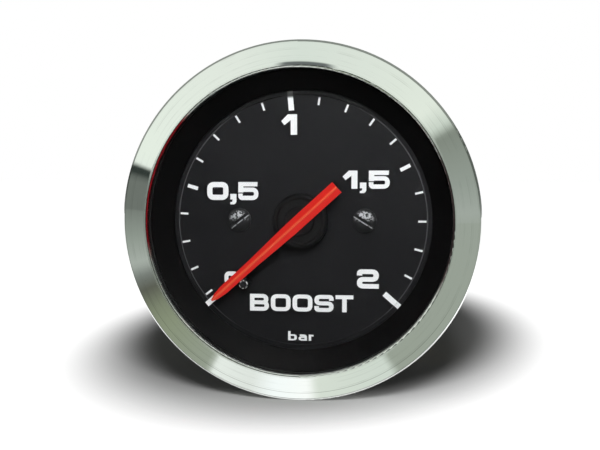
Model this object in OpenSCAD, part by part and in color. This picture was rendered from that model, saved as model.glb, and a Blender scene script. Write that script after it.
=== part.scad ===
// A 52 mm mechanical boost gauge: chromed bezel, black dial with a red pointer, a
// C-shaped pressure tube that drives the pointer through a link and a toothed
// sector, and a U clamp with two thumb nuts that holds the gauge in a panel.
// The modules are drawn with x to the right, y up and z towards the viewer, and
// face_front() turns them so that the dial faces -Y and +Z is up. The origin lies
// on the gauge's axis, in the plane where the bezel rests on the panel.

/* [Bezel and glass] */
// How far the bezel stands over the barrel, on the radius
bezel_over = 4; // [3.8:0.1:5.5]
// How much smaller the bezel's opening is than the barrel, on the radius
opening_in = 0.75; // [0.5:0.05:1]
// Thickness of the bezel's sheet
bezel_t = 0.55; // [0.45:0.05:0.65]
// How far the bezel's outer shoulder lies behind its inner edge
bezel_fall = 1.7; // [1.2:0.1:2]
// Radius of the bezel's outer shoulder
bezel_edge_r = 0.7; // [0.7:0.05:0.9]
// Radius of the bezel's inner edge
bezel_crest_r = 0.3; // [0.2:0.05:0.4]
// Width of the lip that is rolled in behind the case flange
bezel_lip_w = 3; // [2.6:0.1:3.2]
// Height of the bezel's inner edge over the glass
bezel_over_glass = 0.9; // [0.8:0.05:1.2]
// Thickness of the glass
glass_t = 1.4; // [1.2:0.1:2]
// How far the glass reaches under the bezel, on the radius
glass_hold = 1.05; // [0.9:0.05:1.1]
// Height of the glass over the dial
glass_over_dial = 4; // [3.9:0.1:5]
// Thickness of the rubber ring under the glass
gasket_t = 0.5; // [0.4:0.1:0.8]

/* [Case] */
// Diameter of the barrel that goes through the panel
case_d = 52; // [52:0.1:53]
// Depth of the case behind the panel's front face
case_depth = 32; // [31:0.5:40]
// Wall of the case
case_wall = 1; // [0.8:0.1:1.2]
// Radius of the case's rear corner
case_corner_r = 2.5; // [2:0.25:4]
// Thickness of the case's front flange
flange_t = 1; // [0.8:0.1:1.2]

/* [Dial] */
// Height of the dial's face in front of the panel
dial_front = 1; // [0.8:0.1:1.2]
// Thickness of the dial plate
dial_t = 0.65; // [0.5:0.05:0.8]
// Height of the dial's raised middle over its rim
dial_step = 0.15; // [0.1:0.05:0.25]
// Distance from the bezel's opening to the edge of the dial's raised middle
dial_step_in = 4.05; // [3.6:0.05:5]
// Distance from the bezel's opening to the foot of the black ring
ring_foot_in = 3.2; // [2.5:0.05:3.6]
// Height of the straight edge at the foot of the black ring
ring_foot_h = 0.45; // [0.3:0.05:0.8]
// Distance of the two dial screws from the middle
dial_screw_x = 10.7; // [10:0.1:11.5]
// Diameter of a dial screw's head
dial_screw_head_d = 4.1; // [3.6:0.1:4.4]
// Height of a dial screw's domed head
dial_screw_head_h = 1; // [0.8:0.1:1.2]

/* [Pointer] */
// Distance from the pointer's tip to the edge of the dial's raised middle
pointer_short = 1.2; // [0.4:0.1:3]
// Length of the pointer's tail
pointer_tail_l = 8.5; // [6:0.5:9.5]
// Greatest width of the pointer
pointer_w = 2.3; // [1.8:0.1:2.6]
// Width of the pointer's blunt tip
pointer_tip_w = 0.3; // [0.3:0.1:0.8]
// Thickness of the pointer at its ridge
pointer_t = 0.9; // [0.7:0.1:1]
// Diameter of the black hub under the pointer
hub_d = 9.2; // [8:0.2:11]
// Height of the hub's top over the dial
hub_top = 2.8; // [2.2:0.1:2.9]
// Direction of the pointer at zero, anticlockwise from three o'clock
pointer_zero_deg = 222.2; // [215:0.1:226]
// Turn of the pointer from zero to full scale
pointer_sweep = 263; // [240:1:270]

/* [Movement] */
// Module of the teeth
tooth_module = 0.3; // [0.28:0.01:0.31]
// Number of teeth on the pinion
pinion_teeth = 10; // [10]
// Number of teeth that the sector would have as a whole wheel
sector_teeth = 90; // [90]
// Thickness of the two movement plates
plate_t = 1; // [0.8:0.1:1.2]
// Gap between the two movement plates
plate_gap = 6; // [5.8:0.2:8]
// Height of the posts that carry the dial over the front plate
post_h = 3.55; // [3.4:0.05:5]
// Radius of the pinion's and the sector's arbors
arbor_r = 0.6; // [0.5:0.05:0.7]
// Distance of the link's pin from the sector's pivot
tail_l = 4; // [3.6:0.1:4.4]
// Length of the link between its pins
link_l = 7; // [6.5:0.1:7.5]
// Number of turns of the hairspring
hairspring_turns = 5; // [3:1:5]

/* [Pressure tube] */
// Width of the flattened pressure tube along the gauge's axis
tube_w = 7; // [5:0.5:8]
// Thickness of the flattened tube
tube_t = 2; // [1.6:0.1:2.4]
// Wall of the tube
tube_wall = 0.35; // [0.25:0.05:0.45]
// Distance of the tube's middle behind the movement
tube_drop = 7.8; // [7.5:0.1:9]

/* [Inlet] */
// Distance of the inlet below the gauge's axis
inlet_y = 12; // [11.5:0.1:12.5]
// Outer diameter of the inlet's thread
stem_d = 9.7; // [9:0.1:10]
// Bore for a 1/8 inch tube
tube_port_d = 3.3; // [3.2:0.05:3.5]
// Width across the flats of the case nut
case_nut_af = 13; // [12.5:0.1:13.4]
// Width across the flats of the union nut
union_nut_af = 11; // [10:0.1:11.5]

/* [Clamp] */
// Thickness of the panel that the clamp is set for
panel_t = 2.5; // [1:0.1:4]
// Distance of each stud from the gauge's axis
stud_x = 12.5; // [12:0.1:14]
// Diameter of the studs
stud_d = 4; // [3.6:0.1:4.2]
// Length of the studs behind the case
stud_l = 18; // [17:0.5:24]
// Width of the clamp's strip
clamp_w = 9; // [8:0.1:9.4]
// Thickness of the clamp's strip
clamp_t = 1.5; // [1:0.1:1.8]
// Gap between the case and the clamp's bridge
clamp_gap = 4.5; // [3:0.1:5]
// Diameter of the thumb nuts
thumb_nut_d = 10; // [9:0.1:10.6]
// Height of the thumb nuts
thumb_nut_h = 6; // [5:0.5:7]

/* [Lamp] */
// Distance of the lamp above the gauge's axis
lamp_y = 11; // [10.8:0.1:11.6]
// Diameter of the lamp holder's barrel
lamp_d = 9; // [8:0.1:9.2]
// Diameter of the bulb
bulb_d = 5; // [4.6:0.1:5.2]

/* [Hidden] */
$fn = 96;

// Clearances and overruns
overrun = 0.5;
run_clear = 0.04;
seat_clear = 0.02;
thread_clear = 0.05;
bolt_clear = 0.15;
loose_clear = 0.2;
open_pivot_clear = 0.18;

// Heights along the gauge's axis, from the front to the rear
case_r = case_d / 2;
bezel_r = case_r + bezel_over;
opening_r = case_r - opening_in;
dial_step_r = opening_r - dial_step_in;
pointer_l = dial_step_r - pointer_short;
flange_back = bezel_t;
flange_front = flange_back + flange_t;
flange_r = bezel_r - bezel_t - loose_clear;
dial_rim = dial_front - dial_step;
dial_back = dial_front - dial_t;
glass_back = dial_front + glass_over_dial;
glass_front = glass_back + glass_t;
glass_r = opening_r + glass_hold;
ring_top = glass_back - gasket_t;
bezel_top = glass_front + bezel_over_glass;
hub_front = dial_front + hub_top;
pointer_front = hub_front + pointer_t;
front_plate_top = dial_back - post_h;
front_plate_back = front_plate_top - plate_t;
back_plate_top = front_plate_back - plate_gap;
back_plate_back = back_plate_top - plate_t;
tube_z = back_plate_back - tube_drop;
rear_in = case_wall - case_depth;
rear_out = -case_depth;

// Teeth
pinion_r = tooth_module * pinion_teeth / 2;
sector_r = tooth_module * sector_teeth / 2;
gear_ratio = sector_teeth / pinion_teeth;
sector_sweep = pointer_sweep / gear_ratio;
pressure_angle = 20;
backlash_share = 0.12;
pinion_tip_share = 1.1;
pinion_root_share = 1.05;
sector_tip_share = 0.55;
sector_root_share = 1.4;
sector_tooth_count = 9;
sector_half_deg = (sector_tooth_count / 2) * 360 / sector_teeth + 0.5;

// Places of the movement's parts
centre = [0, 0];
tip_travel_deg = 52;
pivot_deg = -56;
pivot = (pinion_r + sector_r) * [cos(pivot_deg), sin(pivot_deg)];
tail_deg = tip_travel_deg - 90;
tail_point = pivot + tail_l * [cos(tail_deg), sin(tail_deg)];
tip_point = tail_point + link_l * [cos(tip_travel_deg), sin(tip_travel_deg)];
tube_r = norm(tip_point);
tip_deg = atan2(tip_point[1], tip_point[0]);
left_post = [-dial_screw_x, 0];
right_post = [dial_screw_x, 0];
low_pillar = [-1, -14];
sector_t = 0.9;
sector_back = back_plate_top + plate_t;
sector_front = sector_back + sector_t;
link_gap = 0.1;
link_t = 0.6;
link_back = sector_front + link_gap;
link_front = link_back + link_t;
pin_r = 0.5;
pin_head_r = 0.95;
pin_head_h = 0.3;
pin_eye_r = 1.3;

// Rear of the gauge
inlet = [0, -inlet_y];
stem_r = stem_d / 2;
stem_bore_r = 0.9;
stem_washer_t = 0.8;
case_nut_h = 4.5;
case_nut_back = rear_out - stem_washer_t - case_nut_h;
clamp_front = rear_out - clamp_gap;
clamp_back = clamp_front - clamp_t;
washer_t = 0.8;
lamp_place = [0, lamp_y];

function arc(c, r, from, to, n = 6) =
    [for (i = [0:n]) c + r * [cos(from + (to - from) * i / n), sin(from + (to - from) * i / n)]];

function flipped(points) = [for (p = points) [-p[0], p[1]]];

function turned(points) = [for (i = [len(points) - 1:-1:0]) points[i]];

// Corner points of an outline that runs at distance r round four or more places
function edge_deg(a, b) = atan2(b[1] - a[1], b[0] - a[0]) - 90;

function round_outline(places, r) =
    let (n = len(places))
        [for (i = [0:n - 1])
            let (from = edge_deg(places[(i + n - 1) % n], places[i]),
                 to = edge_deg(places[i], places[(i + 1) % n]),
                 turn = (to - from + 720) % 360)
                each arc(places[i], r, from, from + turn)];

module face_front() {
    rotate([90, 0, 0]) children();
}

// A solid of one outline between two heights
module between(back, front) {
    translate([0, 0, back]) linear_extrude(front - back) children();
}

module ring(back, front, outer, inner, place = centre) {
    translate(place)
        between(back, front)
            difference() {
                circle(outer);
                circle(inner);
            }
}

module rod(back, front, r, place = centre) {
    translate(place) between(back, front) circle(r);
}

module hex(back, front, across, place = centre) {
    translate(place) between(back, front) circle(across / 2 / cos(30), $fn = 6);
}

// A flat bar with round ends
module bar(from, to, r) {
    span = to - from;
    translate(from) circle(r);
    translate(to) circle(r);
    translate(from)
        rotate(atan2(span[1], span[0]))
            translate([0, -r])
                square([norm(span), 2 * r]);
}

// Bezel's corners, the slope of its face between them, and the top of its hollow
bezel_low = [bezel_r - bezel_edge_r, bezel_edge_r];
bezel_shoulder = [bezel_r - bezel_edge_r, bezel_top - bezel_fall - bezel_edge_r];
bezel_crest = [opening_r + bezel_crest_r, bezel_top - bezel_crest_r];
bezel_face = bezel_shoulder - bezel_crest;
bezel_slope = atan2(-bezel_face[1], bezel_face[0])
    - asin((bezel_edge_r - bezel_crest_r) / norm(bezel_face));
bezel_normal = [sin(bezel_slope), cos(bezel_slope)];
bezel_hollow_top = bezel_crest[1]
    - (bezel_t - bezel_crest_r) * (1 + bezel_normal[0]) / bezel_normal[1];

module bezel_section(inset, ends) {
    r = bezel_edge_r - inset;
    for (corner = [bezel_low, bezel_shoulder])
        translate(corner) circle(r);
    polygon(concat([bezel_low, bezel_low + [r, 0], bezel_shoulder + [r, 0],
        bezel_shoulder + r * bezel_normal], ends));
}

// Bezel: a spun chromed channel that is rolled in behind the case flange
module bezel() {
    lip_r = bezel_r - bezel_lip_w;
    color("gainsboro")
        rotate_extrude()
            difference() {
                union() {
                    translate(bezel_crest) circle(bezel_crest_r);
                    bezel_section(0, [bezel_crest + bezel_crest_r * bezel_normal, bezel_crest,
                        bezel_crest - [bezel_crest_r, 0], [opening_r, glass_front],
                        [opening_r + bezel_t, glass_front], [lip_r, bezel_t], [lip_r, 0],
                        [bezel_low[0], 0]]);
                }
                bezel_section(bezel_t, [[opening_r + bezel_t, bezel_hollow_top],
                    [opening_r + bezel_t, glass_front - overrun],
                    [lip_r - overrun, bezel_t], [bezel_low[0], bezel_t]]);
                translate([0, -overrun]) square([opening_r + bezel_t, glass_front + overrun]);
            }
}

glass_chamfer = 0.25;

module glass() {
    color("azure", 0.3)
        rotate_extrude()
            polygon([[0, glass_back], [glass_r - glass_chamfer, glass_back],
                [glass_r, glass_back + glass_chamfer], [glass_r, glass_front - glass_chamfer],
                [glass_r - glass_chamfer, glass_front], [0, glass_front]]);
}

module glass_gasket() {
    color("dimgray") ring(ring_top, glass_back, glass_r, opening_r + seat_clear);
}

// Black ring: it keeps the glass off the dial and lies on the case flange
module dial_ring() {
    foot_r = opening_r - ring_foot_in;
    spigot_r = case_r - case_wall - bolt_clear;
    color("black")
        rotate_extrude()
            polygon([[foot_r, dial_rim], [foot_r, dial_rim + ring_foot_h],
                [opening_r - bolt_clear, ring_top], [glass_r, ring_top],
                [glass_r, flange_front], [spigot_r, flange_front], [spigot_r, dial_rim]]);
}

dial_screw_r = 1.2;
dial_screw_l = 2.2;
dial_hole_r = 1.6;

module dial() {
    dial_r = case_r - case_wall - loose_clear;
    color([0.13, 0.13, 0.14])
        difference() {
            rotate_extrude()
                polygon([[dial_hole_r, dial_back], [dial_r, dial_back], [dial_r, dial_rim],
                    [dial_step_r + dial_step, dial_rim], [dial_step_r, dial_front],
                    [dial_hole_r, dial_front]]);
            for (place = [left_post, right_post])
                rod(dial_back - overrun, dial_front + overrun,
                    dial_screw_r + bolt_clear, place);
            rod(dial_back - overrun, dial_front + overrun,
                stop_pin_r + seat_clear, stop_pin_place);
        }
}

dial_slot_w = 0.5;
dial_slot_deep = 0.55;
dial_screw_rim = 0.3;
dial_slot_degs = [38, -32];

module dial_screw(place, slot_deg) {
    head_r = dial_screw_head_d / 2;
    dome = dial_screw_head_h - dial_screw_rim;
    dome_r = (pow(head_r, 2) + pow(dome, 2)) / (2 * dome);
    top = dial_front + dial_screw_head_h;
    color([0.2, 0.2, 0.2])
        difference() {
            union() {
                rod(dial_front - dial_screw_l, dial_front, dial_screw_r, place);
                intersection() {
                    rod(dial_front, top + overrun, head_r, place);
                    translate([place[0], place[1], top - dome_r]) sphere(dome_r);
                }
            }
            translate([place[0], place[1], top - dial_slot_deep + overrun])
                rotate(slot_deg)
                    cube([2 * dial_screw_head_d, dial_slot_w, 2 * overrun], center = true);
        }
}

module dial_screws() {
    dial_screw(left_post, dial_slot_degs[0]);
    dial_screw(right_post, dial_slot_degs[1]);
}

// Pointer outline: pairs of a share of the length and a share of the greatest width
pointer_shares = [[0, 1], [0.1, 0.99], [0.53, 0.71], [0.87, 0.66], [0.95, 0.46]];
pointer_tail_share = 1;
pointer_edge_share = 0.35;
pointer_ridge_share = 0.1;

// Half of the pointer's width between two stations of its outline
function pointer_half_w(x, i = 0) =
    let (a = pointer_shares[i], b = pointer_shares[i + 1], s = x / pointer_l)
        s <= b[0] || i + 2 >= len(pointer_shares)
        ? pointer_w / 2 * (a[1] + (b[1] - a[1]) * (s - a[0]) / (b[0] - a[0]))
        : pointer_half_w(x, i + 1);

// Stop pin: it stands in the dial and the pointer rests against it at zero
stop_pin_r = 0.75;
stop_pin_share = 0.71;
stop_pin_at = stop_pin_share * pointer_l;
stop_pin_gap = 0.03;
stop_pin_place = stop_pin_at * [cos(pointer_zero_deg), sin(pointer_zero_deg)]
    + (pointer_half_w(stop_pin_at) + stop_pin_r + stop_pin_gap)
        * [cos(pointer_zero_deg + 90), sin(pointer_zero_deg + 90)];

module stop_pin() {
    cap = stop_pin_r / 3;
    top = hub_front + pointer_t / 2;
    color([0.15, 0.15, 0.15])
        translate(stop_pin_place)
            rotate_extrude()
                polygon([[0, dial_back], [stop_pin_r, dial_back], [stop_pin_r, top - cap],
                    [stop_pin_r - cap, top], [0, top]]);
}

module pointer() {
    side = concat(
        [[-pointer_tail_l, pointer_w / 2 * pointer_tail_share]],
        [for (s = pointer_shares) [s[0] * pointer_l, s[1] * pointer_w / 2]],
        [[pointer_l, pointer_tip_w / 2]]);
    back = [for (i = [len(side) - 1:-1:0]) [side[i][0], -side[i][1]]];
    roof_w = pointer_w / 2 + overrun;
    ridge_w = pointer_w * pointer_ridge_share / 2;
    edge_h = pointer_t * pointer_edge_share;
    fall = (pointer_t - edge_h) / (pointer_w / 2 - ridge_w);
    color([0.88, 0.2, 0.13])
        rotate(pointer_zero_deg)
            difference() {
                intersection() {
                    between(hub_front, pointer_front) polygon(concat(side, back));
                    translate([-pointer_tail_l - overrun, 0, hub_front])
                        rotate([90, 0, 90])
                            linear_extrude(pointer_tail_l + pointer_l + 2 * overrun)
                                polygon([[-roof_w, 0], [roof_w, 0],
                                    [roof_w, edge_h - fall * overrun], [ridge_w, pointer_t],
                                    [-ridge_w, pointer_t], [-roof_w, edge_h - fall * overrun]]);
                }
                rod(hub_front - overrun, hub_front + pointer_t / 2, arbor_r + seat_clear);
            }
}

hub_gap = 0.5;
hub_chamfer = 0.35;
hub_dish = 0.2;
hub_rim_w = 0.7;

module pointer_hub() {
    hub_r = hub_d / 2;
    low = dial_front + hub_gap;
    seat_r = pointer_w;
    color([0.08, 0.08, 0.08])
        rotate_extrude()
            polygon([[arbor_r + seat_clear, low], [hub_r, low], [hub_r, hub_front - hub_chamfer],
                [hub_r - hub_chamfer, hub_front], [hub_r - hub_rim_w, hub_front],
                [hub_r - hub_rim_w - hub_dish, hub_front - hub_dish],
                [seat_r + hub_dish, hub_front - hub_dish], [seat_r, hub_front],
                [arbor_r + seat_clear, hub_front]]);
}

// Angle between a tooth's middle and its flank at radius r
function roll(cosine) = tan(acos(cosine)) * 180 / PI - acos(cosine);

function flank_deg(r, pitch_r, teeth) =
    let (base_r = pitch_r * cos(pressure_angle))
        90 / teeth * (1 - backlash_share) + roll(cos(pressure_angle))
            - roll(base_r / max(r, base_r));

module tooth(pitch_r, teeth, root_r, tip_r) {
    steps = 6;
    flank = [for (i = [0:steps])
        let (r = root_r + (tip_r - root_r) * i / steps, a = flank_deg(r, pitch_r, teeth))
            r * [cos(a), sin(a)]];
    other = [for (p = flank) [p[0], -p[1]]];
    polygon(concat([[0, 0]], other, turned(flank)));
}

// Where the sector's teeth stand at zero, against the line to the pinion
sector_rest_deg = 180 + pivot_deg - sector_sweep / 2;
pinion_phase_deg = pivot_deg + gear_ratio * sector_sweep / 2 + 180 / pinion_teeth;

pinion_t = 2;
collar_r = 1;
collar_t = 0.35;
collar_gap = 0.1;

module pinion_arbor() {
    root_r = pinion_r - tooth_module * pinion_root_share;
    tip_r = pinion_r + tooth_module * pinion_tip_share;
    pinion_back = sector_back - (pinion_t - sector_t) / 2;
    color("silver") {
        rod(back_plate_back, hub_front + pointer_t / 2 - seat_clear, arbor_r);
        rod(back_plate_top + collar_gap, pinion_back, collar_r);
        rod(front_plate_back - collar_gap - collar_t, front_plate_back - collar_gap, collar_r);
        between(pinion_back, pinion_back + pinion_t) {
            circle(root_r);
            for (i = [0:pinion_teeth - 1])
                rotate(pinion_phase_deg + i * 360 / pinion_teeth)
                    tooth(pinion_r, pinion_teeth, root_r, tip_r);
        }
    }
}

// Hairspring: a flat spiral between the arbor's collet and a stud on the front plate
hairspring_t = 0.12;
hairspring_w = 0.5;
hairspring_out_r = 5.5;
hairspring_end_deg = 150;
collet_r = 1.25;
collet_h = 1;
hairspring_z = front_plate_back - collar_gap - collar_t - collet_h;

module hairspring_collet() {
    color("gold") ring(hairspring_z, hairspring_z + collet_h, collet_r, arbor_r + seat_clear);
}

turn_steps = 24;
hairspring_steps = turn_steps * hairspring_turns;

// A point of the hairspring's middle line, or of its outer (1) or inner (-1) side
function hairspring_at(i, side = 0) =
    let (turned_deg = hairspring_end_deg - 360 * hairspring_turns * (1 - i / hairspring_steps),
         r = collet_r + hairspring_t / 2 + seat_clear
             + (hairspring_out_r - collet_r) * i / hairspring_steps + side * hairspring_t / 2)
        r * [cos(turned_deg), sin(turned_deg)];

hairspring_gaps = [for (i = [0:hairspring_steps - turn_steps])
    norm(hairspring_at(i + turn_steps, -1) - hairspring_at(i, 1))];
echo(least_gap_between_hairspring_turns = min(hairspring_gaps));

module hairspring() {
    low = hairspring_z + (collet_h - hairspring_w) / 2;
    color("steelblue")
        between(low, low + hairspring_w)
            polygon(concat(
                [for (i = [0:hairspring_steps]) hairspring_at(i, 1)],
                [for (i = [hairspring_steps:-1:0]) hairspring_at(i, -1)]));
}

hairspring_stud_r = 0.6;

module hairspring_stud() {
    at_r = hairspring_out_r + hairspring_t + seat_clear + hairspring_stud_r + seat_clear;
    color("gold")
        rod(hairspring_z, front_plate_back, hairspring_stud_r,
            at_r * [cos(hairspring_end_deg), sin(hairspring_end_deg)]);
}

sector_hub_r = 2.2;
sector_rim_w = 1.6;
sector_spoke_r = 0.8;

module sector_gear() {
    root_r = sector_r - tooth_module * sector_root_share;
    tip_r = sector_r + tooth_module * sector_tip_share;
    rim_r = root_r - sector_rim_w;
    edge = sector_half_deg - 2 * sector_spoke_r / sector_r * 180 / PI / 2;
    color("goldenrod")
        between(sector_back, sector_front)
            difference() {
                union() {
                    translate(pivot)
                        rotate(sector_rest_deg) {
                            circle(sector_hub_r);
                            for (side = [-1, 1])
                                bar([0, 0], (root_r - sector_spoke_r)
                                    * [cos(edge), side * sin(edge)], sector_spoke_r);
                            polygon(concat(
                                arc([0, 0], rim_r, -sector_half_deg, sector_half_deg, 24),
                                arc([0, 0], root_r, sector_half_deg, -sector_half_deg, 24)));
                            for (i = [0:sector_tooth_count - 1])
                                rotate((i - (sector_tooth_count - 1) / 2) * 360 / sector_teeth)
                                    intersection() {
                                        tooth(sector_r, sector_teeth, rim_r, tip_r);
                                        translate([rim_r, -sector_rim_w])
                                            square(2 * sector_rim_w);
                                    }
                        }
                    bar(pivot, tail_point, pin_eye_r);
                }
                translate(pivot) circle(arbor_r + seat_clear);
                translate(tail_point) circle(pin_r + seat_clear);
            }
}

module sector_arbor() {
    color("silver") {
        rod(back_plate_back, front_plate_top, arbor_r, pivot);
        rod(back_plate_top + collar_gap, sector_back, collar_r, pivot);
        rod(front_plate_back - collar_gap - collar_t, front_plate_back - collar_gap,
            collar_r, pivot);
    }
}

// A link pin from its seat to its head in front of the link
module link_pin(back, place) {
    head = link_front + link_gap;
    rod(back, head + pin_head_h, pin_r, place);
    rod(head, head + pin_head_h, pin_head_r, place);
}

module tail_pin() {
    color("silver") link_pin(sector_back, tail_point);
}

module link() {
    color("khaki")
        between(link_back, link_front)
            difference() {
                bar(tip_point, tail_point, pin_eye_r);
                translate(tip_point) circle(pin_r + run_clear);
                translate(tail_point) circle(pin_r + open_pivot_clear);
            }
}

// Pressure tube: a flattened tube bent to a C, from the socket block to its tip
tip_half_deg = 3.6;
tube_root_deg = 250;
tip_cap_side = 0.6;
tip_post_r = 1.2;

module oval(w, t) {
    translate([tube_r, tube_z]) {
        square([t, w - t], center = true);
        for (side = [-1, 1])
            translate([0, side * (w - t) / 2])
                circle(t / 2);
    }
}

module tube_tip() {
    cap_w = tube_w + 2 * tip_cap_side;
    cap_t = tube_t + 2 * tip_cap_side;
    cap_front = tube_z + cap_w / 2;
    color("goldenrod") {
        rotate_extrude(angle = 2 * tip_half_deg, start = tip_deg - tip_half_deg)
            translate([tube_r, tube_z])
                square([cap_t, cap_w], center = true);
        rod(cap_front - tip_cap_side, link_back - link_gap, tip_post_r, tip_point);
        link_pin(link_back - 2 * link_gap, tip_point);
    }
}

module pressure_tube() {
    start = tip_deg + tip_half_deg;
    color("darkgoldenrod")
        rotate_extrude(angle = tube_root_deg - start, start = start)
            difference() {
                oval(tube_w, tube_t);
                oval(tube_w - 2 * tube_wall, tube_t - 2 * tube_wall);
            }
}

// Socket block: it carries the movement and the tube, and its stem is the inlet
block_left = -9.5;
block_right = 5;
block_low = -20;
block_high = -6;
block_behind_tube = 7;
slot_more_deg = 20;
shoulder_r = 6.5;
channel_r = 0.7;
nipple_r = 3.4;
stem_l = 11;
nipple_l = 5;
port_deep = 4;
olive_r = 2.6;
olive_l = 2;
olive_seat = 0.8;
stem_back = rear_out - stem_l;
nipple_back = stem_back - nipple_l;
block_screw_places = [[-3, -8.5], [2.5, -14.7]];
block_screw_r = 0.9;
block_screw_l = 4;
block_screw_head_r = 1.4;
block_screw_head_h = 0.7;

module socket_block() {
    block_back = tube_z - block_behind_tube;
    root = tube_r * [cos(tube_root_deg), sin(tube_root_deg)];
    way = inlet - root;
    color("darkgoldenrod")
        difference() {
            union() {
                between(block_back, back_plate_back)
                    intersection() {
                        translate([block_left, block_low])
                            square([block_right - block_left, block_high - block_low]);
                        circle(case_r - case_wall - loose_clear);
                    }
                rod(rear_in, block_back, shoulder_r, inlet);
                rod(stem_back, rear_in, stem_r, inlet);
                rod(nipple_back, stem_back, nipple_r, inlet);
            }
            rotate_extrude(angle = slot_more_deg, start = tube_root_deg - slot_more_deg)
                oval(tube_w + 2 * seat_clear, tube_t + 2 * seat_clear);
            rod(nipple_back - overrun, tube_z, stem_bore_r, inlet);
            rod(nipple_back - overrun, nipple_back + port_deep, tube_port_d / 2, inlet);
            rod(nipple_back - overrun, nipple_back + olive_seat,
                olive_r + loose_clear / 2, inlet);
            translate([root[0], root[1], tube_z])
                rotate([0, 90, atan2(way[1], way[0])])
                    translate([0, 0, -stem_bore_r])
                        cylinder(norm(way) + stem_bore_r, channel_r, channel_r);
            for (place = block_screw_places)
                rod(back_plate_back - block_screw_l, back_plate_back + overrun,
                    block_screw_r + thread_clear, place);
        }
}

plate_edge_r = 3.5;
pillar_r = 1.6;
stub_r = 0.95;

// A movement plate with its pivot holes and its pillar holes
module movement_plate(back) {
    color("burlywood")
        between(back, back + plate_t)
            difference() {
                polygon(round_outline([right_post, left_post, low_pillar, pivot], plate_edge_r));
                for (place = [centre, pivot])
                    translate(place) circle(arbor_r + run_clear);
                for (place = [left_post, right_post, low_pillar])
                    translate(place) circle(stub_r + seat_clear);
                children();
            }
}

module front_plate() {
    movement_plate(front_plate_back);
}

module back_plate() {
    movement_plate(back_plate_back)
        for (place = block_screw_places)
            translate(place) circle(block_screw_r + bolt_clear);
}

stub_over = 1.2;
post_r = 2.2;
post_low_bore = 1.4;
post_top_bore = 2;

module pillars() {
    color("gold")
        for (place = [left_post, right_post, low_pillar]) {
            rod(back_plate_top, front_plate_back, pillar_r, place);
            rod(back_plate_back, front_plate_top + stub_over, stub_r, place);
        }
}

module pillar_nut() {
    color("silver")
        difference() {
            hex(front_plate_top, front_plate_top + stub_over, 2 * post_r, low_pillar);
            rod(front_plate_top - overrun, front_plate_top + stub_over + overrun,
                stub_r + thread_clear, low_pillar);
        }
}

module dial_posts() {
    color("gold")
        for (place = [left_post, right_post])
            difference() {
                rod(front_plate_top, dial_back, post_r, place);
                rod(front_plate_top - overrun, front_plate_top + post_low_bore,
                    stub_r + thread_clear, place);
                rod(dial_back - post_top_bore, dial_back + overrun,
                    dial_screw_r + thread_clear, place);
            }
}

module block_screws() {
    color("silver")
        for (place = block_screw_places)
            difference() {
                union() {
                    rod(back_plate_top - block_screw_l + plate_t, back_plate_top,
                        block_screw_r, place);
                    rod(back_plate_top, back_plate_top + block_screw_head_h,
                        block_screw_head_r, place);
                }
                translate([place[0], place[1], back_plate_top + block_screw_head_h])
                    cube([2 * post_r, dial_slot_w, block_screw_head_h], center = true);
            }
}

// Half of a cup's section, with a rounded rear corner
module cup_section(r, back, front, corner_r) {
    translate([0, back]) square([r - corner_r, front - back]);
    translate([0, back + corner_r]) square([r, front - back - corner_r]);
    translate([r - corner_r, back + corner_r]) circle(corner_r);
}

module case() {
    color([0.12, 0.12, 0.12])
        difference() {
            rotate_extrude()
                difference() {
                    union() {
                        cup_section(case_r, rear_out, flange_front, case_corner_r);
                        translate([0, flange_back]) square([flange_r, flange_t]);
                    }
                    cup_section(case_r - case_wall, rear_in, flange_front + overrun,
                        case_corner_r - case_wall);
                }
            rod(rear_out - overrun, rear_in + overrun, stem_r + bolt_clear, inlet);
            rod(rear_out - overrun, rear_in + overrun, lamp_d / 2 + run_clear, lamp_place);
            for (side = [-1, 1])
                rod(rear_out - overrun, rear_in + overrun, stud_d / 2 + thread_clear,
                    [side * stud_x, 0]);
        }
}

stud_head_more = 1.4;
stud_head_t = 0.8;
stud_chamfer = 0.4;

module case_studs() {
    r = stud_d / 2;
    color("silver")
        for (side = [-1, 1])
            translate([side * stud_x, 0])
                rotate_extrude()
                    polygon([[0, rear_in + stud_head_t], [r + stud_head_more, rear_in + stud_head_t],
                        [r + stud_head_more, rear_in], [r, rear_in],
                        [r, rear_out - stud_l + stud_chamfer],
                        [r - stud_chamfer, rear_out - stud_l], [0, rear_out - stud_l]]);
}

module stem_washer() {
    color("silver")
        ring(rear_out - stem_washer_t, rear_out, case_nut_af / 2 + bolt_clear,
            stem_r + thread_clear, inlet);
}

module case_nut() {
    color("goldenrod")
        difference() {
            hex(case_nut_back, case_nut_back + case_nut_h, case_nut_af, inlet);
            rod(case_nut_back - overrun, case_nut_back + case_nut_h + overrun,
                stem_r + thread_clear, inlet);
        }
}

// Olive: the brass ring that the union nut squeezes on the tube
module olive() {
    front = nipple_back + olive_seat - seat_clear;
    slope = (olive_r - tube_port_d / 2) / 2;
    color("gold")
        translate(inlet)
            rotate_extrude()
                polygon([[tube_port_d / 2, front], [olive_r - slope, front],
                    [olive_r, front - slope], [olive_r, front - olive_l + slope],
                    [olive_r - slope, front - olive_l], [tube_port_d / 2, front - olive_l]]);
}

union_thread_l = 4.2;
union_end_l = 2.6;
union_floor = nipple_back + olive_seat - olive_l - 2 * seat_clear;
union_back = union_floor - union_end_l;

module union_nut() {
    color("goldenrod")
        difference() {
            hex(union_back, nipple_back + union_thread_l, union_nut_af, inlet);
            rod(nipple_back - loose_clear, nipple_back + union_thread_l + overrun,
                nipple_r + thread_clear, inlet);
            rod(union_floor, nipple_back, olive_r + loose_clear / 2, inlet);
            rod(union_back - overrun, union_floor + overrun, tube_port_d / 2, inlet);
        }
}

// Clamp: a U-shaped steel strip whose legs press on the back of the panel
clamp_bend_r = 3;
clamp_side_gap = 1.3;

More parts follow.
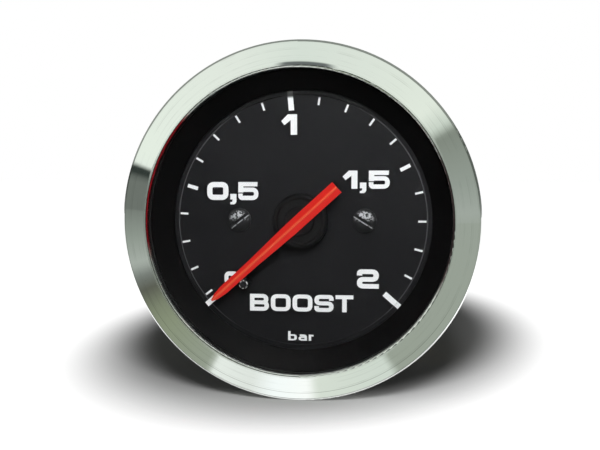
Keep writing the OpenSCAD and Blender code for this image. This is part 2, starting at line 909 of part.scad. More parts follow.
module clamp_bracket() {
    inner_x = case_r + clamp_side_gap;
    outer_x = inner_x + clamp_t;
    bend = [outer_x - clamp_bend_r, clamp_back + clamp_bend_r];
    outside = concat([[outer_x, -panel_t]], arc(bend, clamp_bend_r, 0, -90));
    inside = concat([[inner_x, -panel_t]], arc(bend, clamp_bend_r - clamp_t, 0, -90));
    color("lightgray")
        difference() {
            rotate([90, 0, 0])
                linear_extrude(clamp_w, center = true)
                    polygon(concat(outside, turned(flipped(outside)), flipped(inside),
                        turned(inside)));
            for (side = [-1, 1])
                rod(clamp_back - overrun, clamp_front + overrun, stud_d / 2 + bolt_clear,
                    [side * stud_x, 0]);
        }
}

washer_w = 1.7;
washer_split_deg = 12;

module lock_washers() {
    inner = stud_d / 2 + thread_clear;
    color("silver")
        for (side = [-1, 1])
            translate([side * stud_x, 0])
                rotate_extrude(angle = 360 - washer_split_deg, start = washer_split_deg)
                    translate([inner, clamp_back - washer_t])
                        square([washer_w, washer_t]);
}

// Thumb nut: round and knurled, on a stud behind the clamp
knurls = 24;
knurl_share = 0.4;
thumb_boss_h = 1.2;
thumb_boss_more = 1.6;

module thumb_nut(side) {
    front = clamp_back - washer_t;
    r = thumb_nut_d / 2;
    knurl_r = knurl_share * PI * r / knurls;
    color("silver")
        translate([side * stud_x, 0]) {
            between(front - thumb_nut_h, front - thumb_boss_h)
                difference() {
                    circle(r);
                    circle(stud_d / 2 + thread_clear);
                    for (i = [0:knurls - 1])
                        rotate(i * 360 / knurls)
                            translate([r, 0])
                                circle(knurl_r, $fn = 4);
                }
            ring(front - thumb_boss_h, front, stud_d / 2 + thumb_boss_more,
                stud_d / 2 + thread_clear);
        }
}

module left_thumb_nut() {
    thumb_nut(-1);
}

module right_thumb_nut() {
    thumb_nut(1);
}

// Lamp holder: a push-in barrel with a flange outside the case
lamp_inside_l = 6;
lamp_flange_more = 1.2;
lamp_flange_t = 1.4;
lamp_tail_l = 7;
lamp_tail_less = 0.3;
bulb_bore_l = 9;
terminal_gap = 2.4;
terminal_w = 4;
terminal_t = 0.8;
terminal_out = 5;
terminal_in = 3;

module lamp_holder() {
    front = rear_in + lamp_inside_l;
    flange = rear_out - lamp_flange_t;
    back = flange - lamp_tail_l;
    color([0.1, 0.1, 0.1])
        difference() {
            union() {
                rod(rear_out, front, lamp_d / 2, lamp_place);
                rod(flange, rear_out, lamp_d / 2 + lamp_flange_more, lamp_place);
                rod(back, flange, lamp_d / 2 - lamp_tail_less, lamp_place);
            }
            rod(front - bulb_bore_l, front + overrun, bulb_d / 2 + seat_clear, lamp_place);
            for (side = [-1, 1])
                terminal(side, back, seat_clear);
        }
}

module terminal(side, back, more) {
    translate([lamp_place[0] + side * terminal_gap, lamp_place[1],
        back + (terminal_in - terminal_out) / 2])
        cube([terminal_t + 2 * more, terminal_w + 2 * more, terminal_in + terminal_out],
            center = true);
}

module lamp_terminals() {
    color("gold")
        for (side = [-1, 1])
            terminal(side, rear_out - lamp_flange_t - lamp_tail_l, 0);
}

bulb_l = 16;

module bulb() {
    r = bulb_d / 2;
    low = rear_in + lamp_inside_l - bulb_bore_l + seat_clear;
    color("ivory", 0.6) {
        rod(low, low + bulb_l - r, r, lamp_place);
        translate([lamp_place[0], lamp_place[1], low + bulb_l - r]) sphere(r);
    }
}

face_front() bezel();
face_front() glass();
face_front() glass_gasket();
face_front() dial_ring();
face_front() dial();
face_front() dial_screws();
face_front() stop_pin();
face_front() pointer();
face_front() pointer_hub();
face_front() pinion_arbor();
face_front() hairspring_collet();
face_front() hairspring();
face_front() hairspring_stud();
face_front() sector_gear();
face_front() sector_arbor();
face_front() tail_pin();
face_front() link();
face_front() tube_tip();
face_front() pressure_tube();
face_front() socket_block();
face_front() front_plate();
face_front() back_plate();
face_front() pillars();
face_front() pillar_nut();
face_front() dial_posts();
face_front() block_screws();
face_front() case();
face_front() case_studs();
face_front() stem_washer();
face_front() case_nut();
face_front() olive();
face_front() union_nut();
face_front() clamp_bracket();
face_front() lock_washers();
face_front() left_thumb_nut();
face_front() right_thumb_nut();
face_front() lamp_holder();
face_front() lamp_terminals();
face_front() bulb();
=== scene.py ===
import math

import bpy
from bpy.props import FloatProperty, FloatVectorProperty, IntProperty, PointerProperty
from bpy.types import Operator, Panel, PropertyGroup
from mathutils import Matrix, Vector


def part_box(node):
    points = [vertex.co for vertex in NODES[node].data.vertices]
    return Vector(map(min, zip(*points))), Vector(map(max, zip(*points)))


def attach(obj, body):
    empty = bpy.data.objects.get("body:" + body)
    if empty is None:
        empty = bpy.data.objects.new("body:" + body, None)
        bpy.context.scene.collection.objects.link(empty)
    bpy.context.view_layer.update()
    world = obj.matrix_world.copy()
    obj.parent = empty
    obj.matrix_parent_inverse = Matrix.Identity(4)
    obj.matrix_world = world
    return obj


bl_info = {
    "name": "Boost gauge looks",
    "version": (1, 0, 0),
    "blender": (4, 5, 0),
    "location": "View3D > Sidebar > Gauge",
    "description": "Finishes, scale print, camera and stage for a packed boost gauge",
    "category": "Object",
}

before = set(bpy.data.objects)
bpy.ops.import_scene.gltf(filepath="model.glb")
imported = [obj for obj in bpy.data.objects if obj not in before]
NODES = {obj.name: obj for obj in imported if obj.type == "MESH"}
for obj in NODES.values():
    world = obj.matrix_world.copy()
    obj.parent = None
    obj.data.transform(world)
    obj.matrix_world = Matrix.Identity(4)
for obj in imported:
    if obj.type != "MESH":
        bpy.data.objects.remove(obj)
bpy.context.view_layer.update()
MM_PER_M = 1e3


def box_mm(node):
    """A CAD node's box in the gauge's own frame: x right, y up, z towards the viewer, in mm."""
    low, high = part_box(node)
    return ((low[0] * MM_PER_M, low[2] * MM_PER_M, -high[1] * MM_PER_M),
            (high[0] * MM_PER_M, high[2] * MM_PER_M, -low[1] * MM_PER_M))


DIAL_FRONT = box_mm("dial")[1][2]
BEZEL_R = box_mm("bezel")[1][0]


def placed(x, y, z):
    """A point of the gauge's own frame, in mm, as a point of the scene, in metres."""
    return Vector((x, -z, y)) / MM_PER_M


def polar(radius, deg, z):
    """A point at a radius and an angle round the gauge's axis, in mm, placed in the scene."""
    turn = math.radians(deg)
    return placed(radius * math.cos(turn), radius * math.sin(turn), z)


def shaded(colour, share):
    """A colour made darker or lighter by a share."""
    return tuple(share * part for part in colour)


# Node helpers

def fill(node, **values):
    """Sets a shader node's own sockets, each named with _ for its spaces."""
    for name, value in values.items():
        node.inputs[name.replace("_", " ")].default_value = value
    return node


class Sheet:
    """A node tree with short ways to add and join its nodes."""

    def __init__(self, tree):
        self.nodes = tree.nodes
        self.links = tree.links

    def add(self, kind, **settings):
        node = self.nodes.new(kind)
        for name, value in settings.items():
            setattr(node, name, value)
        return node

    def join(self, out, into):
        self.links.new(out, into)

    def put(self, value, socket):
        """Sets a socket to a number, a place or a colour, or joins an output to it."""
        if isinstance(value, (int, float)):
            socket.default_value = value
        elif isinstance(value, tuple):
            socket.default_value = value if socket.type == "VECTOR" else (*value, 1)
        else:
            self.join(value, socket)

    def show(self, out):
        """Makes out the surface or the background that the tree shows."""
        output = next(n for n in self.nodes if n.type in ("OUTPUT_MATERIAL", "OUTPUT_WORLD"))
        self.join(out, output.inputs["Surface"])

    def place(self):
        """The place on the piece, in metres."""
        return self.add("ShaderNodeTexCoord").outputs["Object"]

    def split(self, vector):
        parts = self.add("ShaderNodeSeparateXYZ")
        self.join(vector, parts.inputs[0])
        return [parts.outputs[axis] for axis in "XYZ"]

    def math(self, operation, a, b=None, clamp=False):
        node = self.add("ShaderNodeMath", operation=operation, use_clamp=clamp)
        self.put(a, node.inputs[0])
        if b is not None:
            self.put(b, node.inputs[1])
        return node.outputs[0]

    def times(self, first, *others):
        """The product of two or more values."""
        for other in others:
            first = self.math("MULTIPLY", first, other)
        return first

    def plus(self, first, *others):
        """The sum of two or more values."""
        for other in others:
            first = self.math("ADD", first, other)
        return first

    def minus(self, a, b):
        return self.math("SUBTRACT", a, b)

    def larger(self, a, b):
        return self.math("MAXIMUM", a, b)

    def band(self, value, ends):
        """0 where value is at the first end, 1 where it is at the second, smooth between."""
        node = self.add("ShaderNodeMapRange", interpolation_type="SMOOTHSTEP")
        self.join(value, node.inputs["Value"])
        fill(node, From_Min=ends[0], From_Max=ends[1])
        return node.outputs["Result"]

    def near(self, value, middle, ends):
        """A band of how far value is from middle."""
        return self.band(self.math("ABSOLUTE", self.minus(value, middle)), ends)

    def mix(self, factor, a, b):
        """Colour a where factor is 0, colour b where it is 1."""
        node = self.add("ShaderNodeMix", data_type="RGBA")
        sockets = [s for s in node.inputs if s.enabled]
        for socket, value in zip(sockets, (factor, a, b)):
            self.put(value, socket)
        return next(s for s in node.outputs if s.enabled)

    def mix_shader(self, factor, a, b):
        """Shader a where factor is 0, shader b where it is 1."""
        node = self.add("ShaderNodeMixShader")
        for socket, out in zip(node.inputs, (factor, a, b)):
            self.join(out, socket)
        return node.outputs[0]

    def noise(self, vector, scale, detail, roughness=0.5):
        node = self.add("ShaderNodeTexNoise")
        self.join(vector, node.inputs["Vector"])
        for name, value in (("Scale", scale), ("Detail", detail), ("Roughness", roughness)):
            self.put(value, node.inputs[name])
        return node.outputs["Fac"]

    def ramp(self, value, stops):
        node = self.add("ShaderNodeValToRGB")
        node.color_ramp.interpolation = "LINEAR"
        elements = node.color_ramp.elements
        while len(elements) < len(stops):
            elements.new(0.5)
        for element, (place, colour) in zip(elements, stops):
            element.position = place
            element.color = (*colour, 1)
        self.join(value, node.inputs["Fac"])
        return node.outputs["Color"]

    def group(self, name, **values):
        """A shared effect with its own values; what it gives changes over the surface."""
        node = self.add("ShaderNodeGroup")
        node.node_tree = bpy.data.node_groups[name]
        return fill(node, **values).outputs


def new_group(name, inputs, outputs):
    """A shader node group with float or vector inputs and float outputs."""
    tree = bpy.data.node_groups.new(name, "ShaderNodeTree")
    for label, value in inputs.items():
        kind = "NodeSocketVector" if isinstance(value, tuple) else "NodeSocketFloat"
        socket = tree.interface.new_socket(name=label, in_out="INPUT", socket_type=kind)
        socket.default_value = value
    for label in outputs:
        tree.interface.new_socket(name=label, in_out="OUTPUT", socket_type="NodeSocketFloat")
    sheet = Sheet(tree)
    given, out = sheet.add("NodeGroupInput"), sheet.add("NodeGroupOutput")
    return sheet, given.outputs, out.inputs


def axis_distance(sheet, centre=(0.0, 0.0, 0.0)):
    """Distance from the axis along Y through centre, and the place along it."""
    away = sheet.add("ShaderNodeVectorMath", operation="SUBTRACT")
    sheet.join(sheet.place(), away.inputs[0])
    sheet.put(centre, away.inputs[1])
    x, y, z = sheet.split(away.outputs[0])
    return sheet.math("SQRT", sheet.plus(sheet.times(x, x), sheet.times(z, z))), y


def make_turned_lines():
    """Fine rings left by a lathe or a polishing wheel, round an axis along Y."""
    sheet, given, out = new_group(
        "turned_lines", {"Centre": (0.0, 0.0, 0.0), "Lines per mm": 6.0, "Waver": 0.2},
        ["Height", "Mask"])
    radius, along = axis_distance(sheet, given["Centre"])
    cross = sheet.add("ShaderNodeCombineXYZ")
    sheet.join(radius, cross.inputs["X"])
    sheet.join(along, cross.inputs["Y"])
    scaled = sheet.add("ShaderNodeVectorMath", operation="SCALE")
    sheet.join(cross.outputs[0], scaled.inputs[0])
    sheet.join(sheet.times(given["Lines per mm"], MM_PER_M), scaled.inputs["Scale"])
    place = sheet.place()
    drift = sheet.noise(place, 60.0, 1.0)
    shift = sheet.add("ShaderNodeVectorMath", operation="ADD")
    sheet.join(scaled.outputs[0], shift.inputs[0])
    sheet.join(sheet.times(drift, given["Waver"]), shift.inputs[1])
    lines = sheet.noise(shift.outputs[0], 1.0, 3.0, 0.6)
    broken = sheet.noise(place, 220.0, 2.0)
    sheet.join(lines, out["Height"])
    sheet.join(sheet.times(sheet.band(lines, (0.45, 0.75)), sheet.band(broken, (0.35, 0.65))),
               out["Mask"])


def make_fine_grain():
    """The fine uneven skin of paint, plating or moulded plastic."""
    sheet, given, out = new_group("fine_grain", {"Grains per mm": 8.0, "Softness": 0.5},
                                  ["Height", "Mottle"])
    place = sheet.place()
    scale = sheet.times(given["Grains per mm"], MM_PER_M)
    sheet.join(sheet.noise(place, scale, 2.0, given["Softness"]), out["Height"])
    sheet.join(sheet.noise(place, sheet.times(scale, 0.05), 3.0), out["Mottle"])


def make_wear():
    """Patches where handling has worn or dusted a surface."""
    sheet, given, out = new_group("handling_wear", {"Patch per mm": 0.4, "Amount": 0.4}, ["Mask"])
    scale = sheet.times(given["Patch per mm"], MM_PER_M)
    patch = sheet.noise(sheet.place(), scale, 6.0, 0.65)
    edge = sheet.minus(0.75, sheet.times(given["Amount"], 0.5))
    steepness = 6.0
    worn = sheet.math("MULTIPLY", sheet.minus(patch, edge), steepness, clamp=True)
    sheet.join(worn, out["Mask"])


def make_thread_lines():
    """Ridges of a screw thread along Y; the pitch is in mm."""
    sheet, given, out = new_group("thread_lines", {"Pitch": 0.7}, ["Height"])
    along = sheet.split(sheet.place())[1]
    turns = sheet.math("DIVIDE", sheet.times(along, MM_PER_M), given["Pitch"])
    sheet.join(sheet.math("PINGPONG", turns, 0.5), out["Height"])


def new_finish(name):
    """A material with one Principled shader, ready for its colour and its surface."""
    material = bpy.data.materials.new(name)
    material.use_nodes = True
    sheet = Sheet(material.node_tree)
    sheet.nodes.clear()
    sheet.add("ShaderNodeOutputMaterial")
    shader = sheet.add("ShaderNodeBsdfPrincipled")
    sheet.show(shader.outputs[0])
    return material, sheet, shader


def surface(sheet, shader, height, least, spread, strength, depth):
    """Roughness that rises by spread from least with the height, and the height as a bump."""
    rough = sheet.plus(sheet.times(height, spread), least)
    sheet.join(rough, shader.inputs["Roughness"])
    bump(sheet, shader, height, strength, depth)


def bump(sheet, shader, height, strength, depth):
    node = fill(sheet.add("ShaderNodeBump"), Strength=strength, Distance=depth)
    sheet.join(height, node.inputs["Height"])
    sheet.join(node.outputs["Normal"], shader.inputs["Normal"])


def grained(name, colour, darker, roughness, grains=8.0, depth=4e-6, wear=0.0,
            worn=(0.3, 0.3, 0.3), spec=0.5):
    """Paint, rubber or plastic: mottled colour, fine grain and worn patches."""
    material, sheet, shader = new_finish(name)
    grain = sheet.group("fine_grain", Grains_per_mm=grains)
    tone = sheet.mix(grain["Mottle"], darker, colour)
    if wear:
        tone = sheet.mix(sheet.group("handling_wear", Amount=wear)["Mask"], tone, worn)
    sheet.join(tone, shader.inputs["Base Color"])
    fill(shader, Specular_IOR_Level=spec)
    surface(sheet, shader, grain["Height"], roughness - 0.08, 0.16, 0.5, depth)
    return material


def turned(name, colour, darker, roughness, centre=(0.0, 0.0, 0.0), thread=0.0):
    """Turned or plated metal: fine rings round an axis along Y, with thread ridges if asked."""
    material, sheet, shader = new_finish(name)
    rings = sheet.group("turned_lines", Centre=centre, Lines_per_mm=6.0)
    haze = sheet.group("handling_wear", Amount=0.5)
    tone = sheet.mix(rings["Height"], darker, colour)
    tone = sheet.mix(sheet.times(haze["Mask"], 0.35), tone, darker)
    sheet.join(tone, shader.inputs["Base Color"])
    rough = sheet.plus(sheet.times(rings["Height"], 0.2), roughness - 0.1)
    sheet.join(rough, shader.inputs["Roughness"])
    fill(shader, Metallic=1.0)
    height, depth = rings["Height"], 3e-6
    if thread:
        ridges = sheet.group("thread_lines", Pitch=thread)
        height = sheet.plus(sheet.times(ridges["Height"], 6.0), height)
        depth *= 12
    bump(sheet, shader, height, 0.6, depth)
    return material


def dress(material, *names):
    """Gives CAD nodes a finish, without touching their meshes."""
    for name in names:
        thing = NODES[name]
        if not thing.data.materials:
            thing.data.materials.append(material)
        for slot in thing.material_slots:
            slot.link = "OBJECT"
            slot.material = material


def new_object(name, points, faces, material):
    mesh = bpy.data.meshes.new(name)
    mesh.from_pydata(points, [], faces)
    mesh.validate()
    mesh.update()
    mesh.materials.append(material)
    thing = bpy.data.objects.new(name, mesh)
    bpy.context.scene.collection.objects.link(thing)
    return thing


def colour_prop(name, description, default):
    return FloatVectorProperty(name=name, description=description, subtype="COLOR", size=3,
                               default=default, min=0, max=1)


def length_prop(name, description, default):
    return FloatProperty(name=name, description=description, default=default, unit="LENGTH",
                         precision=5)


def angle_prop(name, description, deg):
    return FloatProperty(name=name, description=description, default=math.radians(deg),
                         subtype="ANGLE")


# Sizes and colours that a user would change

class BezelLooks(PropertyGroup):
    chrome: colour_prop("Chrome", "Colour of the plating", (0.86, 0.88, 0.86))
    roughness: FloatProperty(
        name="Roughness", description="Gloss of the polished band", default=0.045, min=0, max=1,
        subtype="FACTOR")


class DialLooks(PropertyGroup):
    paint: colour_prop("Dial paint", "Colour of the dial's face", (0.0066, 0.0066, 0.0074))
    ink: colour_prop("Print", "Colour of the scale and the numbers", (0.86, 0.87, 0.88))
    ink_rise: FloatProperty(
        name="Print height", description="How far the print stands over the paint",
        default=2.5e-5, min=5e-6, max=1e-4, unit="LENGTH", precision=6)


class ScaleSizes(PropertyGroup):
    divisions: IntProperty(
        name="Divisions", description="Small steps from 0 to full scale", default=20, min=4, max=60)
    first_angle: angle_prop("Scale start", "Where the even scale would have its zero", 231.46)
    step_angle: angle_prop("Step", "Angle of one division", 13.627)
    zero_angle: angle_prop("Zero mark", "Where the zero mark stands", 221.6)
    radius: length_prop("Scale radius", "Distance of the marks' middle from the axis", 0.02035)
    small_w: length_prop("Small mark width", "Width of a small mark", 0.00034)
    small_l: length_prop("Small mark length", "Length of a small mark", 0.00137)
    half_w: length_prop("Half mark width", "Width of the marks at the halves", 0.0006)
    half_l: length_prop("Half mark length", "Length of the marks at the halves", 0.00184)
    whole_w: length_prop("Whole mark width", "Width of the marks at the wholes", 0.00092)
    whole_l: length_prop("Whole mark length", "Length of the marks at the wholes", 0.0035)


class PointerLooks(PropertyGroup):
    paint: colour_prop("Pointer paint", "Colour of the pointer", (0.58, 0.014, 0.010))
    # painted highlight along the pointer's ridge
    ridge: colour_prop("Ridge", "Colour along the pointer's ridge", (0.66, 0.075, 0.030))


class StageLooks(PropertyGroup):
    yaw: angle_prop("Camera yaw", "How far the camera stands to the right", 7.25)
    pitch: angle_prop("Camera pitch", "How far the camera stands above", 3.0)
    distance: length_prop("Camera distance", "From the middle of the dial", 0.16)
    lens_px: FloatProperty(name="Lens", description="Focal length in pixels of a 600 px picture",
                           default=940.0, min=100, max=5000)
    key: FloatProperty(name="Key light", description="Power of the large lamp above",
                       default=0.37, min=0, subtype="POWER")
    fill_level: FloatProperty(name="Fill", description="Level of the light from all round",
                              default=0.14, min=0, max=2)


# Operators: one for each piece or group of like pieces

class GAUGE_OT_effects(Operator):
    """Builds the effects that several finishes share"""
    bl_idname = "gauge.effects"
    bl_label = "Shared effects"

    def execute(self, context):
        make_turned_lines()
        make_fine_grain()
        make_wear()
        make_thread_lines()
        return {"FINISHED"}


# Painted reflections and other marks on the bezel, in metres. Each pair says where a mark begins
# and where it is full.
EDGE_RADII = (0.02558, 0.02546)
# painted red reflection at the left of the inner edge, and a painted dark red reflection at the
# right
RED_REFLECTION_X, RED_REFLECTION_Z, RED_REFLECTION = (-0.0175, -0.0195), (-0.0075, -0.003), (0.60, 0.02, 0.035)
DARK_RED_REFLECTION_X, DARK_RED_REFLECTION = (0.0215, 0.024), (0.07, 0.02, 0.025)
# painted dark reflections along the top of the inner edge and in a patch at the left
TOP_REFLECTION_OUTER, TOP_REFLECTION_INNER, TOP_REFLECTION_Z = (0.02635, 0.0260), (0.02556, 0.02564), (0.0, 0.001)
TOP_REFLECTION_MIDDLE_X, TOP_REFLECTION_HALF_WIDTH = 0.0014, (0.0056, 0.003)
TOP_DARK_REFLECTION = (0.05, 0.055, 0.07)
LEFT_REFLECTION_MIDDLE, LEFT_REFLECTION_RADII, LEFT_DARK_REFLECTION = polar(27.6, 201, 5.6), (0.0026, 0.0006), (0.12, 0.13, 0.11)
DARK_LINE_R, DARK_LINE_WIDTH, DARK_LINE_Z = 0.02855, (7e-5, 2e-5), (-0.011, -0.017)
DARK_LINE = (0.26, 0.27, 0.25)
RUBBED_RADII = (0.02605, 0.0258)


class GAUGE_OT_bezel(Operator):
    """Chromes the bezel, with the rings of a polished rim, painted reflections and a dark line"""
    bl_idname = "gauge.bezel"
    bl_label = "Bezel"

    def execute(self, context):
        looks = context.scene.gauge_bezel
        material, sheet, shader = new_finish("bezel_chrome")
        rings = sheet.group("turned_lines", Waver=0.6, Lines_per_mm=3.5)
        haze = sheet.group("handling_wear", Amount=0.45, Patch_per_mm=0.12)
        tone = sheet.mix(sheet.times(rings["Mask"], 0.5), tuple(looks.chrome),
                         shaded(looks.chrome, 0.6))
        radius, _ = axis_distance(sheet)
        for mask, share, colour in self.marks(sheet, radius, haze["Mask"]):
            tone = sheet.mix(sheet.times(mask, share), tone, colour)
        sheet.join(tone, shader.inputs["Base Color"])
        rough = sheet.plus(sheet.times(rings["Height"], 0.06), sheet.times(haze["Mask"], 0.05),
                           looks.roughness - 0.03,
                           sheet.times(sheet.band(radius, RUBBED_RADII), 0.2))
        sheet.join(rough, shader.inputs["Roughness"])
        fill(shader, Metallic=1.0)
        bump(sheet, shader, rings["Height"], 0.5, 1.2e-6)
        dress(material, "bezel")
        return {"FINISHED"}

    def marks(self, sheet, radius, haze):
        """Mask, share and colour of each painted reflection and of the dark line on the chrome, in
        the order that they lie in.
        """
        x, _, z = sheet.split(sheet.place())
        # painted red reflection on the inner edge at the left, and a painted dark red reflection at
        # the right
        inner = sheet.band(radius, EDGE_RADII)
        left = sheet.times(sheet.band(x, RED_REFLECTION_X), sheet.band(z, RED_REFLECTION_Z))
        yield sheet.times(inner, left), 1.0, RED_REFLECTION
        yield sheet.times(inner, sheet.band(x, DARK_RED_REFLECTION_X)), 0.9, DARK_RED_REFLECTION
        # painted dark reflections lie along the top of the inner edge and in a patch at the left
        yield sheet.times(sheet.band(radius, TOP_REFLECTION_OUTER), sheet.band(radius, TOP_REFLECTION_INNER),
                          sheet.near(x, TOP_REFLECTION_MIDDLE_X, TOP_REFLECTION_HALF_WIDTH),
                          sheet.band(z, TOP_REFLECTION_Z)), 0.85, TOP_DARK_REFLECTION
        away = sheet.add("ShaderNodeVectorMath", operation="DISTANCE")
        sheet.join(sheet.place(), away.inputs[0])
        away.inputs[1].default_value = LEFT_REFLECTION_MIDDLE
        yield sheet.times(sheet.band(away.outputs["Value"], LEFT_REFLECTION_RADII), haze), 0.75, LEFT_DARK_REFLECTION
        # one long thin dark line runs round the lower half of the band
        yield sheet.times(sheet.near(radius, DARK_LINE_R, DARK_LINE_WIDTH),
                          sheet.band(z, DARK_LINE_Z)), 0.5, DARK_LINE


class GAUGE_OT_glass(Operator):
    """Gives the flat glass and the bulb a clear finish that lets the light through"""
    bl_idname = "gauge.glass"
    bl_label = "Glass"

    def execute(self, context):
        for name, tint, node in (("window_glass", (0.97, 0.985, 0.98), "glass"),
                                 ("bulb_glass", (0.95, 0.95, 0.93), "bulb")):
            material, sheet, shader = new_finish(name)
            fill(shader, Metallic=0.0, Roughness=0.0, IOR=1.46, Transmission_Weight=1.0)
            dust = sheet.times(sheet.group("handling_wear", Amount=0.3)["Mask"], 0.05)
            sheet.join(sheet.mix(dust, tint, (0.9, 0.9, 0.9)), shader.inputs["Base Color"])
            rays = sheet.add("ShaderNodeLightPath").outputs
            through = sheet.larger(rays["Is Shadow Ray"], rays["Is Diffuse Ray"])
            clear = sheet.add("ShaderNodeBsdfTransparent")
            sheet.show(sheet.mix_shader(through, shader.outputs[0], clear.outputs[0]))
            dress(material, node)
        return {"FINISHED"}


# The dial's pressed edges, which carry a painted highlight: radius and half width in metres, and
# how strong the highlight is
PRESSED_EDGES = ((0.02122, 0.00013, 1.0), (0.02222, 0.0001, 0.55))
SIDES_X = (0.008, 0.019)
# colour of the painted highlight along the pressed edges
EDGE_HIGHLIGHT = (0.085, 0.085, 0.09)
# The bezel's lip shades what lies further than this from a point under the dial's middle
LIP_SHADE_CENTRE, LIP_SHADE_RADII = (0.0, 0.0, -0.0045), (0.0251, 0.0256)


class GAUGE_OT_dial(Operator):
    """Paints the dial, the black ring and the rubber ring"""
    bl_idname = "gauge.dial"
    bl_label = "Dial and ring"

    def execute(self, context):
        paint = tuple(context.scene.gauge_dial.paint)
        material, sheet, shader = new_finish("dial_paint")
        grain = sheet.group("fine_grain", Grains_per_mm=6.0)
        tone = sheet.mix(grain["Mottle"], shaded(paint, 0.8), paint)
        # painted highlight along the two pressed edges, strongest at the sides
        radius, _ = axis_distance(sheet)
        x, _, _ = sheet.split(sheet.place())
        highlight_at_sides = sheet.plus(sheet.times(sheet.near(x, 0.0, SIDES_X), 0.8), 0.2)
        for place, width, strength in PRESSED_EDGES:
            edge = sheet.near(radius, place, (width, 0.3 * width))
            tone = sheet.mix(sheet.times(edge, highlight_at_sides, strength), tone, EDGE_HIGHLIGHT)
        # painted shade of the bezel's lip over the dial's top
        tone = sheet.mix(sheet.times(lip_shade(sheet), 0.7), tone, (0.002, 0.002, 0.002))
        sheet.join(tone, shader.inputs["Base Color"])
        fill(shader, Specular_IOR_Level=0.12)
        surface(sheet, shader, grain["Height"], 0.52, 0.16, 0.5, 5e-6)
        dress(material, "dial")
        dress(grained("ring_paint", (0.0018, 0.0018, 0.002), (0.001, 0.001, 0.001), 0.45,
                      grains=5.0, depth=2e-6, spec=0.08), "dial_ring")
        dress(grained("seal_rubber", (0.012, 0.012, 0.012), (0.008, 0.008, 0.008), 0.7,
                      grains=10.0), "glass_gasket")
        return {"FINISHED"}


def lip_shade(sheet):
    """Mask of the crescent at the dial's top that the bezel's lip keeps dark."""
    far, _ = axis_distance(sheet, LIP_SHADE_CENTRE)
    return sheet.band(far, LIP_SHADE_RADII)


# Print on the dial, all in mm
RAISED_R, RAISED_HEIGHT = 21.2, 0.15
MARK_PIECE = 0.06
HALF_MARK_SHIFT, WHOLE_MARK_SHIFT = -0.72, 0.07


def dial_height(radius):
    """Height of the dial's face at a radius: the raised middle, its edge and its rim."""
    return DIAL_FRONT - min(max(radius - RAISED_R, 0.0), RAISED_HEIGHT)


def add_mark(points, faces, angle, middle, length, width, rise):
    """A printed bar along the radius that follows the dial's face."""
    along = Vector((math.cos(angle), math.sin(angle)))
    side = Vector((-along.y, along.x))
    steps = max(4, round(length / MARK_PIECE))
    start = len(points)
    for i in range(steps + 1):
        radius = middle - length / 2 + length * i / steps
        for half in (-width / 2, width / 2):
            at = along * radius + side * half
            points.append(placed(at.x, at.y, dial_height(at.length) + rise))
    for i in range(steps):
        a = start + 2 * i
        faces.append((a, a + 2, a + 3, a + 1))


def ink_finish(ink):
    """White screen print with slightly uneven cover and painted shade at the dial's top; it is
    built once.
    """
    found = bpy.data.materials.get("scale_print")
    if found:
        return found
    material, sheet, shader = new_finish("scale_print")
    grain = sheet.group("fine_grain", Grains_per_mm=12.0)
    tone = sheet.mix(grain["Mottle"], shaded(ink, 0.9), ink)
    # painted shade of the bezel's lip over the print at the dial's top
    tone = sheet.mix(lip_shade(sheet), tone, shaded(ink, 0.03))
    sheet.join(tone, shader.inputs["Base Color"])
    fill(shader, Roughness=0.5)
    bump(sheet, shader, grain["Height"], 0.5, 2e-6)
    return material


def print_on_dial(name, points, faces):
    """Adds printed faces as a piece that belongs to the dial."""
    ink = tuple(bpy.context.scene.gauge_dial.ink)
    thing = new_object(name, points, faces, ink_finish(ink))
    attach(thing, "gauge")


class GAUGE_OT_scale(Operator):
    """Prints the marks of the scale on the dial"""
    bl_idname = "gauge.scale"
    bl_label = "Scale marks"

    def execute(self, context):
        sizes = context.scene.gauge_scale
        rise = context.scene.gauge_dial.ink_rise * MM_PER_M
        middle = sizes.radius * MM_PER_M
        points, faces = [], []
        for i in range(sizes.divisions + 1):
            angle = sizes.zero_angle if i == 0 else sizes.first_angle - i * sizes.step_angle
            if i % 10 == 0:
                length, width, shift = sizes.whole_l, sizes.whole_w, WHOLE_MARK_SHIFT
            elif i % 5 == 0:
                length, width, shift = sizes.half_l, sizes.half_w, HALF_MARK_SHIFT
            else:
                length, width, shift = sizes.small_l, sizes.small_w, 0.0
            add_mark(points, faces, angle, middle + shift, length * MM_PER_M, width * MM_PER_M,
                     rise)
        print_on_dial("scale_marks", points, faces)
        return {"FINISHED"}


